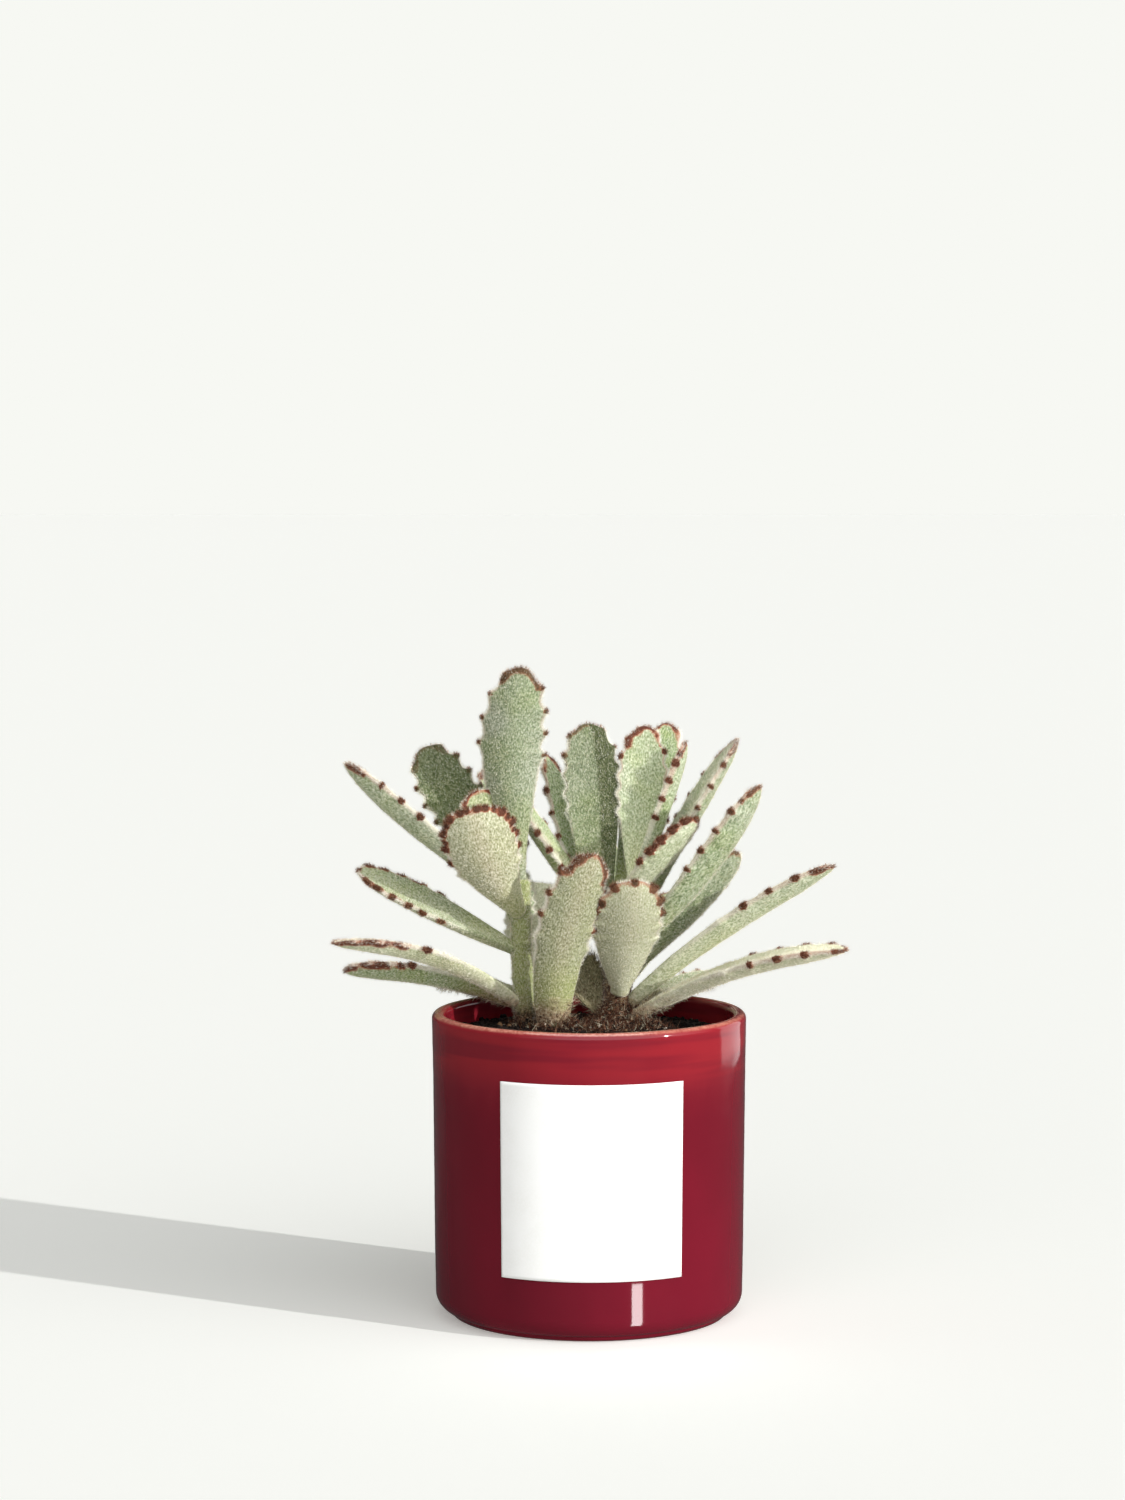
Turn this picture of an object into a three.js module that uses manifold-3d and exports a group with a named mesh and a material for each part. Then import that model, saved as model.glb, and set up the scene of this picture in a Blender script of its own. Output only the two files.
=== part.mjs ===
// Panda plant in a round glazed pot. Millimetres, +Z up, -Y at the front, origin at the centre of the foot.
// Three shoots stand in plain holes in the soil. Each leaf is a thick cupped blade with a toothed margin.
import * as THREE from "three";
import Module from "manifold-3d";

const wasm = await Module();
wasm.setup();
const { Manifold, Mesh } = wasm;

// ---- driving dimensions ----
const CLEAR = 0.3; // gap kept between two pieces that touch
const POT = {
  height: 101,
  topRadius: 52.5,
  bottomRadius: 51.4,
  innerTop: 48,
  innerBottom: 46.5,
  floor: 9,
  footRadius: 47,
  footHeight: 1.2,
  footBevel: 1,
  cornerRadius: 6,
  rimRadius: 2,
  segments: 64,
};
const SOIL = { top: 94.5, edgeDrop: 1.2, bump: 0.45, rings: 6, segments: 40 };
const LABEL = { bottom: 20.5, top: 84.5, halfAngle: 34, turn: 1.1, thickness: 0.6, segments: 18 };

// Shoots: points of the axis as height above the soil, x and y; radius at the soil and at the top;
// and the heights of the joints, where the shoot swells.
const SHOOT = { buried: 7.5, sides: 10, swell: 0.35, swellReach: 1.6, topTaper: 0.8 };
const SHOOTS = {
  left: { axis: [[0, -21.5, 13], [30, -23, 12], [50, -23, 11]], radii: [3.7, 3.1], joints: [5, 16, 28, 42] },
  mid: { axis: [[0, 9, 13], [30, 10, 14], [46, 10, 15]], radii: [5, 3.7], joints: [5, 14, 26, 38] },
  low: { axis: [[0, -12.8, 8], [7, -12.8, 8]], radii: [4.2, 3.6], joints: [3] },
};

// Leaves. h: height of the root above the soil. az: compass direction, degrees from +X towards +Y.
// rise: slope of the blade at its root, and bend: what the slope gains by the tip.
// lean and sway: the same two in the blade's own plane. roll: turn about the midrib.
// off: distance of the root from the shoot's axis. side: shift of the root to one side of az.
// len, wid, thick: size of the blade. cup: depth of its hollow.
// base: width at the root as a share of wid. full: where along the blade it is widest.
// neck: how slowly it widens up to there, and tip: how blunt it is above.
// first: where the teeth start. teeth: how many on each side. reach: how far they stand out.
const LEAF = {
  rise: 45,
  bend: 0,
  lean: 0,
  sway: 0,
  roll: 0,
  side: 0,
  thick: 4.6,
  cup: 0.4,
  base: 0.3,
  full: 0.62,
  neck: 1,
  tip: 2.3,
  first: 0.46,
  teeth: 5,
  reach: 1.5,
};
const TALL = { cup: 0.25, base: 0.18, full: 0.64, neck: 1.2, tip: 2, first: 0.6, teeth: 4, reach: 2 };
const FAN = { cup: 0.35, base: 0.3, full: 0.76, neck: 1.3 };
const STOUT = { cup: 0.25, base: 0.62 };
const ROOT_OFF = 0.6; // an ordinary root starts this far outside the shoot's radius
const LEAVES = {
  left: [
    { h: 51, off: 0, az: -95, rise: 88, lean: -12, sway: 26, len: 70.5, wid: 19.5, ...TALL },
    { h: 40, side: 0.8, az: 236, rise: 34, bend: 30, lean: 5, roll: 38, len: 48.5, wid: 23, ...FAN },
    { h: 47, az: 156, rise: 54, roll: -66, len: 56.5, wid: 16.5, full: 0.66, reach: 2 },
    { h: 48.5, az: 185, rise: 69, roll: -75, len: 33, wid: 13, thick: 3.4, full: 0.7, tip: 3 },
    { h: 44, az: 180, rise: 34, bend: 10, roll: 20, len: 71, wid: 15, thick: 4.2, first: 0.58, teeth: 4 },
    { h: 27, az: 187, rise: 26, bend: 2, roll: -26, len: 57, wid: 15 },
    { h: 9, az: 206, rise: 37, bend: -36, roll: 4, len: 70, wid: 13.5, thick: 4.2 },
    { h: 8, az: 162, rise: 20, bend: -26, roll: 20, len: 62, wid: 14 },
    { h: 33, az: 109, rise: 62, len: 61, wid: 14 },
    { h: 24, az: 95, rise: 80, len: 28, wid: 8 },
    { h: 15, az: 84, rise: 39, len: 46, wid: 16, base: 0.4, tip: 3 },
    { h: 10, az: 130, rise: 3, bend: -4, len: 56, wid: 15 },
  ],
  mid: [
    { h: 47, off: 4.5, side: 6.4, az: 98, rise: 70, bend: 8, lean: 1.5, len: 56, wid: 17.5, base: 0.58 },
    { h: 47, off: 3.5, side: -6.6, az: 89, rise: 70, bend: 8, lean: -2, len: 55, wid: 15, base: 0.46 },
    { h: 38, az: 86, rise: 56, lean: -11, len: 75, wid: 15 },
    { h: 43, az: 32, rise: 66.5, roll: -35, len: 56.5, wid: 11, base: 0.34 },
    { h: 33, az: 26, rise: 61, bend: -8, roll: -12, len: 74, wid: 16 },
    { h: 40, off: 0.5, side: -5, az: -24, rise: 44, bend: 6, roll: -13, len: 43, wid: 15, thick: 4 },
    { h: 27, az: -15.5, rise: 42.5, bend: 18, roll: -12, len: 70.5, wid: 18 },
    { h: 20, az: 14, rise: 41.5, bend: 6, roll: -45, len: 53, wid: 19 },
    { h: 9, az: -6, rise: 42, bend: -16, roll: -15, len: 82, wid: 15 },
    { h: 3, az: -19, rise: 33, bend: -28, roll: 5, len: 80, wid: 15 },
    { h: 13, az: -77, rise: 64, len: 42.5, wid: 22, cup: 0.3 },
    { h: 31, az: 168, rise: 58, bend: -6, len: 59, wid: 14 },
    { h: 25, az: 130, rise: 60, lean: -2, len: 74.5, wid: 13, full: 0.5, tip: 1.4 },
    { h: 19, az: 100, rise: 46, len: 58, wid: 17 },
    { h: 13, az: 68, rise: 28, len: 56, wid: 16 },
    { h: 4, az: 174, rise: 66, roll: -70, len: 22, wid: 12, thick: 3.6 },
    { h: 4, az: 44, rise: 18, bend: -18, len: 52, wid: 14 },
  ],
  low: [
    { h: 1.6, off: 5, az: -80, rise: 73, lean: -3.5, sway: 28, len: 63, wid: 17.5, ...STOUT },
    { h: 3, az: 98, rise: 28, len: 42, wid: 15 },
  ],
};

// Shape shared by all blades. The shares are of the length, from root to tip.
const TAPER = { from: 0.6, power: 3 }; // where the body starts to thin, and how fast
const TEETH = { to: 0.93, climb: 0.6, drop: 0.25, leadSide: -0.1, lagSide: 0.25 };
const PLAIN = [0, 0.1, 0.2, 0.3, 0.39]; // stations of the smooth part below the teeth
const TIP = 0.985; // last full ring before the point of the tip
const EDGE_THINNING = 0.25; // share of the thickness lost towards the margin
const RING = [[1, 0], [0.62, 0.82], [0, 1], [-0.62, 0.82], [-1, 0], [-0.62, -0.82], [0, -1], [0.62, -0.82]];

const GLAZE = { color: 0xa02a34, roughness: 0.15, metalness: 0 };
const EARTH = { color: 0x2a221d, roughness: 1, metalness: 0 };
const PAPER = { color: 0xf2f0ea, roughness: 0.8, metalness: 0 };
const FELT = { color: 0xa9b592, roughness: 0.95, metalness: 0 };
const BARK = { color: 0x93955f, roughness: 0.9, metalness: 0 };

// ---- helpers ----
const rad = (degrees) => (degrees * Math.PI) / 180;
const clamp = (x) => Math.min(1, Math.max(0, x));
const mix = (a, b, t) => a + (b - a) * t;
const vec = (x, y, z) => new THREE.Vector3(x, y, z);

// A closed solid from rings of equal length, with a fan to a point at each end.
function loft(rings, start, end) {
  const n = rings[0].length;
  const last = (rings.length - 1) * n;
  const points = [...rings.flat(), start, end];
  const faces = [];
  for (let j = 0; j < n; j++) {
    const k = (j + 1) % n;
    for (let i = 0; i < last; i += n) faces.push(i + j, i + k, i + n + k, i + j, i + n + k, i + n + j);
    faces.push(last + n, k, j, last + n + 1, last + j, last + k);
  }
  return new Manifold(
    new Mesh({
      numProp: 3,
      vertProperties: new Float32Array(points.flatMap((p) => p.toArray())),
      triVerts: new Uint32Array(faces),
    }),
  );
}

// Points evenly round a circle.
const circle = (centre, radius, count, turn = 0) =>
  Array.from({ length: count }, (_, j) => {
    const a = (2 * Math.PI * (j + turn)) / count;
    return vec(centre.x + radius * Math.cos(a), centre.y + radius * Math.sin(a), centre.z);
  });

// Points of a quarter circle in [radius, z], from one angle to another.
const arc = (r, z, radius, from, to, steps) =>
  Array.from({ length: steps + 1 }, (_, k) => {
    const a = rad(mix(from, to, k / steps));
    return [r + radius * Math.cos(a), z + radius * Math.sin(a)];
  });

function meshOf(name, solid, look) {
  const made = solid.getMesh();
  const geometry = new THREE.BufferGeometry()
    .setAttribute("position", new THREE.BufferAttribute(new Float32Array(made.vertProperties), 3))
    .setIndex(new THREE.BufferAttribute(new Uint32Array(made.triVerts), 1));
  geometry.computeVertexNormals();
  const mesh = new THREE.Mesh(geometry, new THREE.MeshStandardMaterial(look));
  mesh.name = name;
  return mesh;
}

// ---- pot ----
const potRadius = (z) =>
  mix(POT.bottomRadius, POT.topRadius, (z - POT.cornerRadius) / (POT.height - POT.cornerRadius));
const innerRadius = (z) => mix(POT.innerBottom, POT.innerTop, z / POT.height);

function pot() {
  const { height, floor, rimRadius, cornerRadius, footRadius, footHeight } = POT;
  const cornerZ = footHeight + cornerRadius;
  const profile = [
    [0, 0],
    [footRadius - POT.footBevel, 0],
    [footRadius, footHeight],
    ...arc(potRadius(cornerZ) - cornerRadius, cornerZ, cornerRadius, -75, 0, 4),
    [potRadius(height / 2), height / 2],
    ...arc(POT.topRadius - rimRadius, height - rimRadius, rimRadius, 0, 90, 3),
    ...arc(POT.innerTop + rimRadius, height - rimRadius, rimRadius, 90, 180, 3),
    [innerRadius(floor), floor],
    [0, floor],
  ];
  const geometry = new THREE.LatheGeometry(
    profile.map(([r, z]) => new THREE.Vector2(r, z)),
    POT.segments,
  ).rotateX(Math.PI / 2);
  const mesh = new THREE.Mesh(geometry, new THREE.MeshStandardMaterial(GLAZE));
  mesh.name = "pot";
  return mesh;
}

// ---- shoots ----
// Point of a shoot's axis at height h above the soil.
function axisAt({ axis }, h) {
  const upper = Math.max(1, axis.findIndex(([top], k) => h <= top || k === axis.length - 1));
  const [h0, x0, y0] = axis[upper - 1];
  const [h1, x1, y1] = axis[upper];
  const t = clamp((h - h0) / (h1 - h0));
  return vec(mix(x0, x1, t), mix(y0, y1, t), h);
}

const topOf = ({ axis }) => axis.at(-1)[0];

function radiusAt(shoot, h) {
  const nearest = Math.min(...shoot.joints.map((joint) => Math.abs(h - joint)));
  const swell = SHOOT.swell * (1 - clamp(nearest / SHOOT.swellReach));
  return mix(...shoot.radii, clamp(h / topOf(shoot))) + swell;
}

// The shoot's solid, or with extra the room it needs around it.
function shootSolid(shoot, extra) {
  const top = topOf(shoot);
  const around = shoot.joints.flatMap((h) => [h - SHOOT.swellReach, h, h + SHOOT.swellReach]);
  const levels = [0, ...around, top - 1].sort((a, b) => a - b);
  const widen = 1 / Math.cos(Math.PI / SHOOT.sides);
  const ring = (h, z, radius) => circle(axisAt(shoot, h).setZ(z), radius * widen, SHOOT.sides, 0.5);
  const foot = -SHOOT.buried - extra;
  const rings = [
    ring(0, foot, radiusAt(shoot, 0) + extra),
    ...levels.map((h) => ring(h, h, radiusAt(shoot, h) + extra)),
    ring(top, top + extra, radiusAt(shoot, top) * SHOOT.topTaper + extra),
  ];
  return loft(rings, axisAt(shoot, 0).setZ(foot), axisAt(shoot, top).setZ(top + extra));
}

// ---- leaves ----
const outline = (s, { base, full, neck, tip }) =>
  (base + (1 - base) * Math.sin((Math.PI / 2) * Math.min(1, s / full)) ** neck) *
  Math.sqrt(1 - clamp((s - full) / (1 - full)) ** tip);
const body = (s) => Math.sqrt(1 - clamp((s - TAPER.from) / (1 - TAPER.from)) ** TAPER.power);
const pitchOf = ({ first, teeth }) => (TEETH.to - first) / (teeth - 1);

// How far a tooth stands out at s: a slow climb from the root's side, then a quick drop towards the tip.
function toothAt(s, leaf, shift) {
  const heights = Array.from({ length: leaf.teeth }, (_, k) => {
    const t = (s - leaf.first) / pitchOf(leaf) - k - shift;
    return t <= 0 ? clamp(1 + t / TEETH.climb) ** 1.4 : clamp(1 - t / TEETH.drop);
  });
  return Math.max(...heights);
}

// Directions at s: along the midrib, across the blade, and out of its hollow side.
function frameAt(leaf, s) {
  const az = rad(leaf.az);
  const rise = rad(leaf.rise + leaf.bend * s);
  const lean = rad(leaf.lean + leaf.sway * s);
  const roll = rad(leaf.roll);
  const outward = vec(Math.cos(rise) * Math.cos(az), Math.cos(rise) * Math.sin(az), Math.sin(rise));
  const hollow = vec(-Math.sin(rise) * Math.cos(az), -Math.sin(rise) * Math.sin(az), Math.cos(rise));
  const level = hollow.clone().cross(outward);
  const along = outward.clone().multiplyScalar(Math.cos(lean)).addScaledVector(level, Math.sin(lean));
  const side = level.clone().multiplyScalar(Math.cos(lean)).addScaledVector(outward, -Math.sin(lean));
  return {
    along,
    across: side.clone().multiplyScalar(Math.cos(roll)).addScaledVector(hollow, Math.sin(roll)),
    up: hollow.clone().multiplyScalar(Math.cos(roll)).addScaledVector(side, -Math.sin(roll)),
  };
}

// Points of the midrib at the given stations.
function midrib(leaf, stations) {
  const steps = 60;
  const az = rad(leaf.az);
  const off = leaf.off ?? radiusAt(leaf.shoot, leaf.h) + ROOT_OFF;
  const root = axisAt(leaf.shoot, leaf.h);
  root.x += off * Math.cos(az) - leaf.side * Math.sin(az);
  root.y += off * Math.sin(az) + leaf.side * Math.cos(az);
  const path = [root];
  for (let i = 0; i < steps; i++)
    path.push(path[i].clone().addScaledVector(frameAt(leaf, (i + 0.5) / steps).along, leaf.len / steps));
  return stations.map((s) => {
    const i = Math.min(steps - 1, Math.floor(s * steps));
    return path[i].clone().lerp(path[i + 1], s * steps - i);
  });
}

// The blade's solid, or with extra the room it needs around it.
function blade(leaf, extra) {
  const pitch = pitchOf(leaf);
  const toothed = Array.from({ length: leaf.teeth }, (_, k) => leaf.first + k * pitch).flatMap((s) => [
    s + TEETH.leadSide * pitch,
    s + TEETH.lagSide * pitch,
    s + (TEETH.lagSide + TEETH.drop) * pitch,
  ]);
  const stations = [...PLAIN, ...toothed.filter((s) => s < TIP), TIP];
  const centres = midrib(leaf, stations);
  const rings = stations.map((s, i) => {
    const { across, up } = frameAt(leaf, s);
    const half = (leaf.wid / 2) * outline(s, leaf);
    const depth = Math.min(leaf.thick * body(s), 2 * half) / 2;
    return RING.map(([u, v]) => {
      const tooth = leaf.reach * clamp(half / 3) * toothAt(s, leaf, u > 0 ? TEETH.leadSide : TEETH.lagSide);
      const x = u * (half + extra + (Math.abs(u) === 1 ? tooth : 0));
      const cupped = leaf.cup * half * (u * u - 0.4) * (1.1 - 0.4 * s);
      return centres[i]
        .clone()
        .addScaledVector(across, x)
        .addScaledVector(up, cupped + v * (depth + extra) * (1 - EDGE_THINNING * u * u));
    });
  });
  const [root, tip] = midrib(leaf, [0, 1]);
  const back = frameAt(leaf, 0).along.multiplyScalar(-extra);
  const on = frameAt(leaf, 1).along.multiplyScalar(extra);
  rings[0].forEach((p) => p.add(back));
  rings.at(-1).forEach((p) => p.add(on));
  return loft(rings, root.add(back), tip.add(on));
}

// Every leaf in turn. Where roots crowd at a joint, a blade is cut back from the shoots and from the
// blades already placed, as packed leaf bases press flat against each other.
function leaves(rooms) {
  const meshes = [];
  const taken = [...rooms];
  for (const [place, rows] of Object.entries(LEAVES))
    rows.forEach((row, k) => {
      const leaf = { ...LEAF, ...row, shoot: SHOOTS[place] };
      const whole = blade(leaf, 0);
      const kept = taken.reduce((solid, room) => solid.subtract(room), whole).decompose();
      const largest = kept.reduce((a, b) => (a.volume() > b.volume() ? a : b));
      meshes.push(meshOf(`${place}_leaf_${k + 1}`, largest, FELT));
      taken.push(blade(leaf, CLEAR));
    });
  return meshes;
}

// ---- soil, with a hole for each shoot ----
const crumb = (j, k) => Math.sin(3.1 * j + 1.7 * k) * Math.sin(1.3 * j - 2.3 * k);

function soil(rooms) {
  const bottom = POT.floor + CLEAR;
  const radius = (z) => innerRadius(z) - CLEAR;
  const under = [0.3, 0.7, 1].map((t) => circle(vec(0, 0, bottom), radius(bottom) * t, SOIL.segments));
  const over = Array.from({ length: SOIL.rings }, (_, k) => {
    const t = 1 - k / SOIL.rings;
    const ring = circle(vec(0, 0, SOIL.top - SOIL.edgeDrop * t * t), radius(SOIL.top) * t, SOIL.segments);
    if (k) ring.forEach((p, j) => (p.z += SOIL.bump * crumb(j, k)));
    return ring;
  });
  const filling = loft([...under, ...over], vec(0, 0, bottom), vec(0, 0, SOIL.top));
  return rooms.reduce((solid, room) => solid.subtract(room.translate([0, 0, SOIL.top])), filling);
}

// ---- label: a blank band of paper round the front ----
function label() {
  const { bottom, top, halfAngle, turn, thickness, segments } = LABEL;
  const corner = (at, z, out) => {
    const r = potRadius(z) + CLEAR + out;
    return vec(r * Math.cos(at), r * Math.sin(at), z);
  };
  const rings = Array.from({ length: segments + 1 }, (_, j) => {
    const at = rad(turn - 90 + mix(halfAngle, -halfAngle, j / segments));
    return [
      corner(at, bottom, 0),
      corner(at, bottom, thickness),
      corner(at, top, thickness),
      corner(at, top, 0),
    ];
  });
  const middle = (ring) => ring.reduce((sum, p) => sum.add(p), vec(0, 0, 0)).divideScalar(ring.length);
  return loft(rings, middle(rings[0]), middle(rings.at(-1)));
}

// ---- assembly ----
const rooms = Object.values(SHOOTS).map((shoot) => shootSolid(shoot, CLEAR));

const plant = new THREE.Group();
plant.position.z = SOIL.top;
for (const [place, shoot] of Object.entries(SHOOTS))
  plant.add(meshOf(`${place}_stem`, shootSolid(shoot, 0), BARK));
plant.add(...leaves(rooms));

const group = new THREE.Group();
group.add(pot(), meshOf("soil", soil(rooms), EARTH), meshOf("label", label(), PAPER), plant);

export default group;
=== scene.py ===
"""Looks of the panda plant in its red glazed pot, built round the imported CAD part.

One shared frame: +Z up, -Y at the front, origin under the centre of the pot. Sizes below are in
millimetres and turn into metres when a mesh is made; camera, lights and floor are in metres.
"""

from math import cos, pi, radians, sin
from types import SimpleNamespace as Namespace

import bpy
import numpy as np
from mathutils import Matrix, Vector


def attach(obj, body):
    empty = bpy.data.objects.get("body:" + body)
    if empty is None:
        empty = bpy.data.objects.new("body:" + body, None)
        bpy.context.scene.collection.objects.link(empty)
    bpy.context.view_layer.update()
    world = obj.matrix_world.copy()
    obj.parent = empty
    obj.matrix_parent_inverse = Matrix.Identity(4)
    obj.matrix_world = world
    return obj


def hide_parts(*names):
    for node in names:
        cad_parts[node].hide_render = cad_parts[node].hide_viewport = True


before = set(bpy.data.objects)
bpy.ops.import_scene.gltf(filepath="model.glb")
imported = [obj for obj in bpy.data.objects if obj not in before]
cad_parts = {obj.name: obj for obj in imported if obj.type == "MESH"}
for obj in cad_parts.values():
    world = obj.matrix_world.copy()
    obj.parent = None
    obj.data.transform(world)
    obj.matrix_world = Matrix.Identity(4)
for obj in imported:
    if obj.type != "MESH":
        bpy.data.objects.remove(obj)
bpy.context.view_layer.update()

MM = 0.001
UP = np.array([0.0, 0.0, 1.0])

# ---- sizes shared with the CAD part ----
# top, bottom, inner_top, inner_bottom, foot: radii. floor: thickness of the pot's floor.
# corner, rim: radii of the rounding below and on top. bevel: width of the foot's sloping edge.
POT = Namespace(height=101, top=52.5, bottom=51.4, inner_top=48, inner_bottom=46.5, floor=9,
                foot=47, foot_height=1.2, bevel=1, corner=6, rim=2)
# back, front: how far the two faces of the paper stand off the wall.
LABEL = Namespace(bottom=20.5, top=84.5, half_angle=34, turn=1.1, back=0.19, front=0.5)
SOIL_TOP = 94.5
SOIL_DROP = 1.2  # how much lower the soil is at the wall
SOIL_GAP = 0.1  # between the soil's surface and the wall
CLEAR = 0.3  # gap kept between two pieces that touch

SWELL, SWELL_REACH = 0.35, 1.6  # how far a joint stands out, and how far it reaches up and down
BURIED = 7.5  # depth of a shoot's foot in the soil
# axis: points of the axis as height above the soil, x and y. radii: at the soil and at the top.
# joints: where the shoot swells. dusty: how far up the brown dust of its foot reaches.
SHOOTS = {
    "left": Namespace(axis=[(0, -21.5, 13), (30, -23, 12), (50, -23, 11)],
                      radii=(3.7, 3.1), joints=(5, 16, 28, 42), dusty=8),
    "mid": Namespace(axis=[(0, 9, 13), (30, 10, 14), (46, 10, 15)],
                     radii=(5, 3.7), joints=(5, 14, 26, 38), dusty=20),
    "low": Namespace(axis=[(0, -12.8, 8), (7, -12.8, 8)], radii=(4.2, 3.6), joints=(3,), dusty=9),
}

# Shape of a leaf.
# h: height of the root above the soil. az: compass direction, degrees from +X towards +Y.
# rise: slope of the blade at its root, and bend: what the slope gains by the tip.
# lean and sway: the same two, sideways. roll: turn about the midrib.
# off: distance of the root from the shoot's axis. side: shift of the root to one side of az.
# len, wid, thick: size of the blade. cup: depth of its hollow.
# base: width at the root as a share of wid. full: where along the blade it is widest.
# neck: how slowly it widens up to there, and tip: how blunt it is above.
# first: where the teeth start. teeth: how many a side has. reach: how far they stand out.
SHAPE = dict(rise=45, bend=0, lean=0, sway=0, roll=0, off=None, side=0, thick=4.6, cup=0.4,
             base=0.3, full=0.62, neck=1, tip=2.3, first=0.46, teeth=5, reach=1.5)
# Looks of a leaf.
# warm, grey: shares of beige and of silvery felt. pale: painted light, a whitish lift on blades
# that the lamps leave too dim. deep: painted shade, a darker green on blades meant to look shaded.
# flank: more of this painted shade on one side, which its sign picks. dry: share of withered brown.
# stalk: how far up the blade the yellow-green of its root reaches.
# brown: size of the brown spots. marks: where along the blade they start. dash: how drawn out they are.
# arc: from here to the tip the brown closes into a line band mm wide, or into spots gap mm apart.
LOOKS = dict(warm=0.15, grey=0.3, pale=0, deep=0, flank=0, dry=0, stalk=0.3, brown=1, marks=0,
             dash=1, arc=0.9, band=1.3, gap=None)
TALL = dict(cup=0.25, base=0.18, full=0.64, neck=1.2, tip=2, first=0.6, teeth=4, reach=2)
FAN = dict(cup=0.35, base=0.3, full=0.76, neck=1.3)
STOUT = dict(cup=0.25, base=0.62)
ROOT_OFF = 0.6  # an ordinary root starts this far outside the shoot's radius
# Each leaf: its shape, as in the CAD part, and then its looks.
LEAVES = {
    "left": [
        dict(h=51, off=0, az=-95, rise=88, lean=-12, sway=26, len=70.5, wid=19.5, **TALL,
             grey=0.95, deep=0.4, brown=0.6, arc=0.92, band=2.2),
        dict(h=40, side=0.8, az=236, rise=34, bend=30, lean=5, roll=38, len=48.5, wid=23, **FAN,
             warm=1, pale=0.1, marks=0.5, dash=1.2, arc=0.72, gap=3.1),
        dict(h=47, az=156, rise=54, roll=-66, len=56.5, wid=16.5, full=0.66, reach=2, deep=0.84, brown=0.8),
        dict(h=48.5, az=185, rise=69, roll=-75, len=33, wid=13, thick=3.4, full=0.7, tip=3, warm=0.5),
        dict(h=44, az=180, rise=34, bend=10, roll=20, len=71, wid=15, thick=4.2, first=0.58, teeth=4,
             grey=0.9, pale=0.15, deep=0.06, brown=0.75, dash=1.5, band=1.6),
        dict(h=27, az=187, rise=26, bend=2, roll=-26, len=57, wid=15,
             warm=0.4, grey=0.6, deep=0.15, brown=0.65, dash=2.4, arc=0.64, gap=5.5),
        dict(h=9, az=206, rise=37, bend=-36, roll=4, len=70, wid=13.5, thick=4.2,
             warm=0.3, grey=0.4, pale=0.4, stalk=0.8, brown=0.8, marks=0.5, dash=2.2, arc=0.66, band=1.5),
        dict(h=8, az=162, rise=20, bend=-26, roll=20, len=62, wid=14,
             warm=0.3, brown=0.8, marks=0.5, dash=2.2, arc=0.62, band=1.5),
        dict(h=33, az=109, rise=62, len=61, wid=14),
        dict(h=24, az=95, rise=80, len=28, wid=8, brown=0),
        dict(h=15, az=84, rise=39, len=46, wid=16, base=0.4, tip=3, warm=0.9, grey=0.8, pale=0.6, brown=0),
        dict(h=10, az=130, rise=3, bend=-4, len=56, wid=15),
    ],
    "mid": [
        dict(h=47, off=4.5, side=6.4, az=98, rise=70, bend=8, lean=1.5, len=56, wid=17.5, base=0.58,
             grey=0.7, deep=0.64, flank=-0.5, brown=0.75, marks=0.75, arc=0.94),
        dict(h=47, off=3.5, side=-6.6, az=89, rise=70, bend=8, lean=-2, len=55, wid=15, base=0.46,
             grey=0.7, pale=0.15, marks=0.75, arc=0.88, band=2.6),
        dict(h=38, az=86, rise=56, lean=-11, len=75, wid=15),
        dict(h=43, az=32, rise=66.5, roll=-35, len=56.5, wid=11, base=0.34, grey=0.6, brown=1.1),
        dict(h=33, az=26, rise=61, bend=-8, roll=-12, len=74, wid=16, grey=0.6, deep=0.15, brown=0.85),
        dict(h=40, off=0.5, side=-5, az=-24, rise=44, bend=6, roll=-13, len=43, wid=15, thick=4,
             grey=0.9, pale=0.3, brown=0.95, dash=2, arc=0.62, gap=5),
        dict(h=27, az=-15.5, rise=42.5, bend=18, roll=-12, len=70.5, wid=18,
             grey=0.8, deep=0.2, brown=0.85),
        dict(h=20, az=14, rise=41.5, bend=6, roll=-45, len=53, wid=19,
             grey=0.9, deep=0.48, brown=1.4, marks=0.4),
        dict(h=9, az=-6, rise=42, bend=-16, roll=-15, len=82, wid=15,
             warm=0.2, grey=0.8, pale=0.15, deep=0.12, stalk=0.75, brown=0.75, marks=0.6, dash=1.7),
        dict(h=3, az=-19, rise=33, bend=-28, roll=5, len=80, wid=15,
             warm=0.2, grey=0.6, pale=0.6, stalk=0.6, brown=1.3, marks=0.5, arc=0.97),
        dict(h=13, az=-77, rise=64, len=42.5, wid=22, cup=0.3,
             warm=1, pale=0.4, deep=0.26, stalk=0, brown=1.45, marks=0.62, arc=0.78, gap=8),
        dict(h=31, az=168, rise=58, bend=-6, len=59, wid=14, stalk=0.6, brown=0.85),
        dict(h=25, az=130, rise=60, lean=-2, len=74.5, wid=13, full=0.5, tip=1.4),
        dict(h=19, az=100, rise=46, len=58, wid=17),
        dict(h=13, az=68, rise=28, len=56, wid=16),
        dict(h=4, az=174, rise=66, roll=-70, len=22, wid=12, thick=3.6, deep=0.65, dry=0.7, brown=0),
        dict(h=4, az=44, rise=18, bend=-18, len=52, wid=14),
    ],
    "low": [
        dict(h=1.6, off=5, az=-80, rise=73, lean=-3.5, sway=28, len=63, wid=17.5, **STOUT,
             warm=0.9, deep=0.2, stalk=0.45, marks=0.5, arc=0.87, band=2.4),
        dict(h=3, az=98, rise=28, len=42, wid=15),
    ],
}

TAPER_FROM, TAPER_POWER = 0.6, 3  # where the body starts to thin, and how fast
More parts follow.
